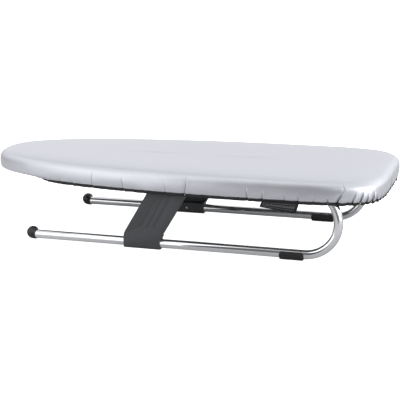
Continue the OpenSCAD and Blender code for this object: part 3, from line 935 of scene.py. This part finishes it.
def swept_round(name, count, section, cut=False):
    """A closed section swept round the cover's edge, with its flat coordinates if they are wanted."""
    run = even_runs(count)
    points, _ = cloth_points(run, side_length(run)[:, None] + section[None, :, 0], section[None, :, 1])
    uv = None
    if cut:
        girth = np.concatenate([[0], np.cumsum(np.linalg.norm(np.diff(section, axis=0), axis=1))])
        uv = np.stack(np.broadcast_arrays(run[:, None], girth[None, :]), -1).reshape(-1, 2)
    return outwards(mesh_object(name, points.reshape(-1, 3), closed_strip(count, len(section)), uv))


class IRON_OT_hem(bpy.types.Operator):
    """Builds the black binding, the elastic inside it and the row of stitches above it"""
    bl_idname = "iron.hem"
    bl_label = "Hem"

    def execute(self, context):
        tape = swept_round("hem_binding", 1000, np.array(BINDING_SECTION) * MM * (1.16, 1.0), cut=True)
        seat(wear(tape, "tape"), "board", "hem_cloth", "hem")
        elastic = swept_round("hem_elastic", 600, np.array(ELASTIC_SECTION) * MM)
        seat(wear(elastic, "elastic"), "board", "elastic_cord", "elastic")

        count = 1600
        run = even_runs(count)
        line, normal = cloth_points(run, side_length(run)[:, None] - STITCH_ABOVE, 0.0001)
        edges = [(i, (i + 1) % count) for i in range(count)]
        stitches = point_object("hem_stitches", line[:, 0], edges, outward=normal[:, 0])
        grow(stitches, stitch_tree(), Pitch=sizes().stitch, Length=0.0026, Thickness=0.0005,
             Thread=finish_of("thread"))
        seat(stitches, "board", "cover_cloth")

        return {"FINISHED"}


class IRON_OT_label(bpy.types.Operator):
    """Builds the woven label, folded at its lower edge and sewn into the hem"""
    bl_idname = "iron.label"
    bl_label = "Label"

    def execute(self, context):
        low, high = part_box("label")
        length = high.x - low.x
        across, down = 42, 13
        points, uv = [], []
        for back in (0, 1):
            for j in range(down + 1):
                b = 1 - j / down if back else j / down
                for i in range(across + 1):
                    a = i / across
                    x = low.x + length * a - (0.0045 + 0.001 * a) * b
                    curl = 0.0018 * (1 - a) * b * b - 0.0008 * math.sin(2.6 * a + 0.6) * b
                    apart = 0.0011 * back * (1 - 0.8 * b ** 6)
                    drop = (0.0105 + 0.0070 * a) * b
                    points.append((x, curl + apart - half_width(x, 0.0008), high.z + 0.0016 - drop))
                    uv.append((a * length, b * LABEL_DROP))
        w = across + 1
        faces = [(j * w + i, j * w + i + 1, (j + 1) * w + i + 1, (j + 1) * w + i)
                 for j in range(2 * down + 1) for i in range(across)]
        obj = mesh_object("hem_label", points, faces, uv)
        thicken(wear(obj, "label"), 0.0004, 0)
        seat(obj, "board", "label_cloth", "label")
        return {"FINISHED"}


class IRON_OT_deck(bpy.types.Operator):
    """Finishes the deck and its rim, and adds the pressed ring round each steam hole"""
    bl_idname = "iron.deck"
    bl_label = "Deck"

    def execute(self, context):
        dress("deck", "deck")
        dress("rim", "rim")
        pitch, radius = sizes().hole_pitch, sizes().hole_r
        rim_room = radius + HOLE_MARGIN
        centres = []
        for j in range(-6, 7):
            for i in range(-13, 14):
                x = (i + (0.5 if j % 2 else 0)) * pitch
                y = j * pitch * 0.866
                beside_rail = abs(abs(y) - LEG_Y) < RAIL_HALF + radius + 0.001
                under_rail = beside_rail and RAIL_ENDS[0] < x < RAIL_ENDS[1]
                on_deck = abs(y) < half_width(np.array(x), rim_room) and abs(x) < HALF_LENGTH - HOLE_MARGIN
                if on_deck and not under_rail:
                    centres.append((x, y, DECK_UNDER))
        rings = point_object("hole_rings", centres)
        grow(rings, flange_tree(), Radius=radius, Bead=0.0006, Paint=finish_of("deck"))
        seat(rings, "board", "deck_steel")
        return {"FINISHED"}


def screw_pattern():
    """A pan-head screw at the origin, facing +Z, with a cross recess."""
    r = sizes().head_r
    n = 24
    points, faces = [], []
    for wide, high in SCREW_PROFILE:
        for i in range(n):
            turn = 2 * math.pi * i / n
            points.append((r * wide * math.cos(turn), r * wide * math.sin(turn), high * HEAD_HEIGHT))
    tip, last = len(points), len(points) - n
    points.append((0, 0, HEAD_HEIGHT))
    for j in range(0, last, n):
        faces += [(j + i, j + n + i, j + n + (i + 1) % n, j + (i + 1) % n) for i in range(n)]
    faces += [(tip, i, (i + 1) % n) for i in range(n)]
    faces.append(tuple(reversed(range(last, tip))))
    head = mesh_object("screw_pattern", points, faces)
    cutters = []
    for turn in (0, math.pi / 2):
        bm = bmesh.new()
        bmesh.ops.create_cube(bm, size=1)
        shape = Matrix.Rotation(turn, 4, "Z") @ Matrix.Diagonal((r * 1.15, r * 0.24, 0.0024, 1))
        bmesh.ops.transform(bm, matrix=Matrix.Translation((0, 0, 0.0019)) @ shape, verts=bm.verts)
        mesh = bpy.data.meshes.new("cross")
        bm.to_mesh(mesh)
        bm.free()
        cutters.append(in_scene("cross", mesh))
        cut = head.modifiers.new("cross", "BOOLEAN")
        cut.object = cutters[-1]
        cut.operation = "DIFFERENCE"
        cut.solver = "EXACT"
    settle(head)
    for cutter in cutters:
        bpy.data.objects.remove(cutter)
    return head


def drive_screws(name, body, node, places, axis, pattern):
    """Screws at these places on one body, in the place of a CAD node."""
    points = point_object(name, places, axis=[axis] * len(places))
    grow(points, screw_tree(), Screw=pattern, Zinc=finish_of("screw"))
    seat(points, body, "screw_steel", node)


class IRON_OT_hinges(bpy.types.Operator):
    """Finishes the rails, saddles and straps, and drives their screws"""
    bl_idname = "iron.hinges"
    bl_label = "Hinges"

    def execute(self, context):
        places = []
        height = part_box("strap_screws")[0].z + HEAD_HEIGHT
        for side in ("near", "far"):
            dress("rail_" + side, "rail")
            for end in "ab":
                saddle, strap = f"saddle_{side}_{end}", f"strap_{side}_{end}"
                rounded_piece(saddle, "board", "saddle_plastic", "saddle", sizes().edge)
                rounded_piece(strap, "board", "strap_steel", "strap", 0.0003)
                low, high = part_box(saddle)
                middle = (low + high) / 2
                places += [(middle.x, middle.y + s * (TUBE_R + SCREW_OUT), height) for s in (-1, 1)]
        pattern = screw_pattern()
        drive_screws("strap_screw_heads", "board", "strap_screws", places, (0, 0, -1), pattern)
        for side, sign in SIDES:
            low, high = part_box(f"strut_screws_{side}")
            face = (high.y if sign < 0 else low.y) + sign * HEAD_HEIGHT
            places = [(x, face, z) for x, z in zip(STRUT_SCREW_X, (LOW_Z, HINGE_Z))]
            drive_screws(f"strut_screw_heads_{side}", f"leg_{side}", f"strut_screws_{side}", places,
                         (0, -sign, 0), pattern)
        bpy.data.objects.remove(pattern)
        return {"FINISHED"}


class IRON_OT_legs(bpy.types.Operator):
    """Bends the two chromed tubes and finishes their rings, balls and plugs"""
    bl_idname = "iron.legs"
    bl_label = "Legs"

    def execute(self, context):
        bend = (HINGE_Z - LOW_Z) / 2
        for side, sign in SIDES:
            leg = "leg_" + side
            low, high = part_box("tube_" + side)
            bend_x = high.x - TUBE_R - bend
            upper_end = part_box("plug_" + side)[0].x + 0.002
            path = [(x, LOW_Z) for x in (low.x, low.x + 0.001, *np.linspace(low.x + 0.02, bend_x - 0.002, 24))]
            path += [(bend_x + bend * math.sin(t), LOW_Z + bend - bend * math.cos(t))
                     for t in np.linspace(0, math.pi, 61)]
            path += [(x, HINGE_Z) for x in np.linspace(bend_x - 0.002, upper_end, 14)]
            line = [(x, sign * LEG_Y, z) for x, z in path]
            tube = point_object("leg_tube_" + side, line, [(i, i + 1) for i in range(len(line) - 1)])
            grow(tube, tube_tree(), Radius=TUBE_R, Chrome=finish_of("chrome"))
            seat(tube, leg, "tube_chrome", "tube_" + side)
            for end in "ab":
                rounded_piece(f"ring_{side}_{end}", leg, "ring_steel", "ring", 0.0004)
            rounded_piece("ball_" + side, leg, "ball_plastic", "ball", 0.0004, 40)
            dress("plug_" + side, "plug")
        return {"FINISHED"}


class IRON_OT_struts(bpy.types.Operator):
    """Rounds the edges of the moulded struts and feet"""
    bl_idname = "iron.struts"
    bl_label = "Struts and feet"

    def execute(self, context):
        for side, _ in SIDES:
            rounded_piece("strut_" + side, "leg_" + side, "strut_plastic", "strut", sizes().edge)
            rounded_piece("foot_" + side, "leg_" + side, "foot_rubber", "rubber", 0.0006)
        return {"FINISHED"}


# The studio: soft panels as place, aim, width, height and radiance, and the glow of its walls as
# azimuth from the front, elevation, narrowness and strength.
SOFTBOXES = (
    ("left_panel", (-0.675, -0.62, 0.55), (-0.675, 0.0, 0.55), 1.09, 1.10, 1.28),
    ("right_panel", (0.95, -0.35, 0.25), (0.0, -0.35, 0.25), 0.50, 0.50, 2.70),
    ("top_panel", (0.0, -0.30, 1.20), (0.0, -0.30, 0.0), 1.40, 0.70, 0.52),
)
WALL_GLOW = (
    (-150, 12, 16, 0.90), (-120, 12, 16, 0.53), (-60, 12, 16, 0.61), (0, 12, 16, 0.30), (56, 14, 18, 1.35),
    (72, 16, 36, 2.40),
    (90, 12, 16, 0.80), (120, 12, 16, 1.26), (150, 12, 16, 1.04), (180, 12, 16, 0.72), (-135, 40, 10, 0.28),
    (-90, 40, 10, 1.32), (46, 38, 10, 1.65), (90, 40, 10, 0.23), (135, 40, 10, 1.11), (180, 40, 10, 0.45),
    (90, 70, 7, 0.20), (180, 70, 7, 0.50), (-50, 64, 12, 0.20),
)
# The floor's corners; the pale part of it, an ellipse about a shifted origin, with painted shade outside it; its two
# shades; and how much it glows where it is pale, and to the camera.
FLOOR_CORNERS = [(-14, -8, 0), (14, -8, 0), (14, 22, 0), (-14, 22, 0)]
PALE_SHIFT, PALE_REACH = (-0.36, 0.93, 0.0), (0.36, 0.52)
FLOOR_DARK, FLOOR_PALE = (0.12, 0.12, 0.12), (0.5, 0.5, 0.5)
FLOOR_GLOW, FLOOR_SEEN = 0.06, 1.0
CAMERA_PLACE, CAMERA_TURN, LENS_MM = (0.655308, -1.963387, 0.587119), (0.31326, 0.25007, -0.01397), 103.435


def soft_light(name, place, aim, width, height, radiance):
    """A rectangular studio panel that faces a point and doesn't show itself."""
    data = bpy.data.lights.new(name, "AREA")
    data.shape = "RECTANGLE"
    data.size, data.size_y, data.energy = width, height, radiance * math.pi * width * height
    light = in_scene(name, data)
    light.visible_camera = False
    light.location = place
    light.rotation_euler = (Vector(aim) - Vector(place)).to_track_quat("-Z", "Y").to_euler()


def vector_node(tree, operation, a, b=(0, 0, 0)):
    return add(tree, "ShaderNodeVectorMath", {0: a, 1: b}, operation=operation).outputs


def lay_floor():
    """A pale floor that glows evenly white where the camera sees it, with painted shade past its front edge: a darker
    colour and less glow there, which reflections show.
    """
    floor = mesh_object("floor", FLOOR_CORNERS, [(0, 1, 2, 3)])
    material, tree, place = new_material("pale_floor", 0.0, 0.9)
    shader = tree.nodes["Principled BSDF"]
    shifted = vector_node(tree, "ADD", place, PALE_SHIFT)[0]
    scaled = vector_node(tree, "MULTIPLY", shifted, (1 / PALE_REACH[0], 1 / PALE_REACH[1], 1.0))[0]
    away = vector_node(tree, "LENGTH", scaled)["Value"]
    # painted shade: darker colour and less glow outside the pale ellipse
    lit = made(tree, "ShaderNodeMapRange", {0: away, 1: 0.9, 2: 1.08, 3: 0.0, 4: 1.0})
    tree.links.new(tint(tree, lit, FLOOR_DARK, FLOOR_PALE), shader.inputs["Base Color"])
    shader.inputs["Emission Color"].default_value = (1, 1, 1, 1)
    seen = add(tree, "ShaderNodeLightPath").outputs["Is Camera Ray"]
    glow = math_node(tree, "MULTIPLY_ADD", seen, FLOOR_SEEN, math_node(tree, "MULTIPLY", lit, FLOOR_GLOW))
    tree.links.new(glow, shader.inputs["Emission Strength"])
    floor.data.materials.append(material)


def light_walls(scene):
    """The studio's walls: a soft glow for each row of WALL_GLOW, and plain white behind the object."""
    world = bpy.data.worlds.new("studio")
    scene.world = world
    world.use_nodes = True
    tree = world.node_tree
    back = tree.nodes["Background"]
    towards = add(tree, "ShaderNodeTexCoord").outputs["Generated"]
    total = 0.0
    for azimuth, elevation, narrow, strength in WALL_GLOW:
        a, e = math.radians(azimuth), math.radians(elevation)
        aim = (math.sin(a) * math.cos(e), -math.cos(a) * math.cos(e), math.sin(e))
        facing = vector_node(tree, "DOT_PRODUCT", towards, aim)["Value"]
        lobe = math_node(tree, "EXPONENT", math_node(tree, "MULTIPLY_ADD", facing, narrow, -narrow))
        total = math_node(tree, "MULTIPLY_ADD", lobe, strength, total)
    seen = add(tree, "ShaderNodeLightPath").outputs["Is Camera Ray"]
    strength = made(tree, "ShaderNodeMix", {0: seen, 2: total, 3: 1.0}, data_type="FLOAT")
    tree.links.new(strength, back.inputs["Strength"])
    back.inputs["Color"].default_value = (0.985, 0.99, 1.0, 1)


def set_camera(scene):
    """The camera, from its place and its turns about the upright, level and viewing axes."""
    yaw, pitch, roll = CAMERA_TURN
    ahead = Vector((-math.sin(yaw) * math.cos(pitch), math.cos(yaw) * math.cos(pitch), -math.sin(pitch)))
    level = Vector((math.cos(yaw), math.sin(yaw), 0))
    upright = level.cross(ahead)
    right = level * math.cos(roll) + upright * math.sin(roll)
    up = upright * math.cos(roll) - level * math.sin(roll)
    lens = bpy.data.cameras.new("camera")
    lens.sensor_width, lens.lens, lens.clip_end = 36, LENS_MM, 60
    camera = in_scene("camera", lens)
    turn = Matrix((right, up, -ahead)).transposed().to_4x4()
    camera.matrix_world = Matrix.Translation(CAMERA_PLACE) @ turn
    scene.camera = camera


class IRON_OT_stage(bpy.types.Operator):
    """Sets the floor, the soft studio light and the camera"""
    bl_idname = "iron.stage"
    bl_label = "Stage"

    def execute(self, context):
        scene = context.scene
        scene.view_settings.view_transform = "Standard"
        lay_floor()
        for panel in SOFTBOXES:
            soft_light(*panel)
        light_walls(scene)
        set_camera(scene)
        return {"FINISHED"}


class IRON_PT_panel(bpy.types.Panel):
    """Lists the pieces of the ironing board"""
    bl_idname = "IRON_PT_panel"
    bl_label = "Ironing board"
    bl_space_type = "VIEW_3D"
    bl_region_type = "UI"
    bl_category = "Ironing board"

    def draw(self, context):
        for group in (context.scene.iron_sizes, context.scene.iron_colours):
            for key in group.bl_rna.properties.keys():
                if key not in ("rna_type", "name"):
                    self.layout.prop(group, key)
        for operator in OPERATORS:
            self.layout.operator(operator.bl_idname)


OPERATORS = (IRON_OT_stage, IRON_OT_cover, IRON_OT_underlay, IRON_OT_hem, IRON_OT_label, IRON_OT_deck,
             IRON_OT_hinges, IRON_OT_legs, IRON_OT_struts)
CLASSES = (IRON_PG_sizes, IRON_PG_colours, *OPERATORS, IRON_PT_panel)


def register():
    for cls in CLASSES:
        bpy.utils.register_class(cls)
    bpy.types.Scene.iron_sizes = PointerProperty(type=IRON_PG_sizes)
    bpy.types.Scene.iron_colours = PointerProperty(type=IRON_PG_colours)


def unregister():
    del bpy.types.Scene.iron_colours
    del bpy.types.Scene.iron_sizes
    for cls in reversed(CLASSES):
        bpy.utils.unregister_class(cls)


def main():
    """Builds every piece in order."""
    register()
    for operator in OPERATORS:
        group, name = operator.bl_idname.split(".")
        getattr(getattr(bpy.ops, group), name)()


if __name__ == "__main__":
    main()
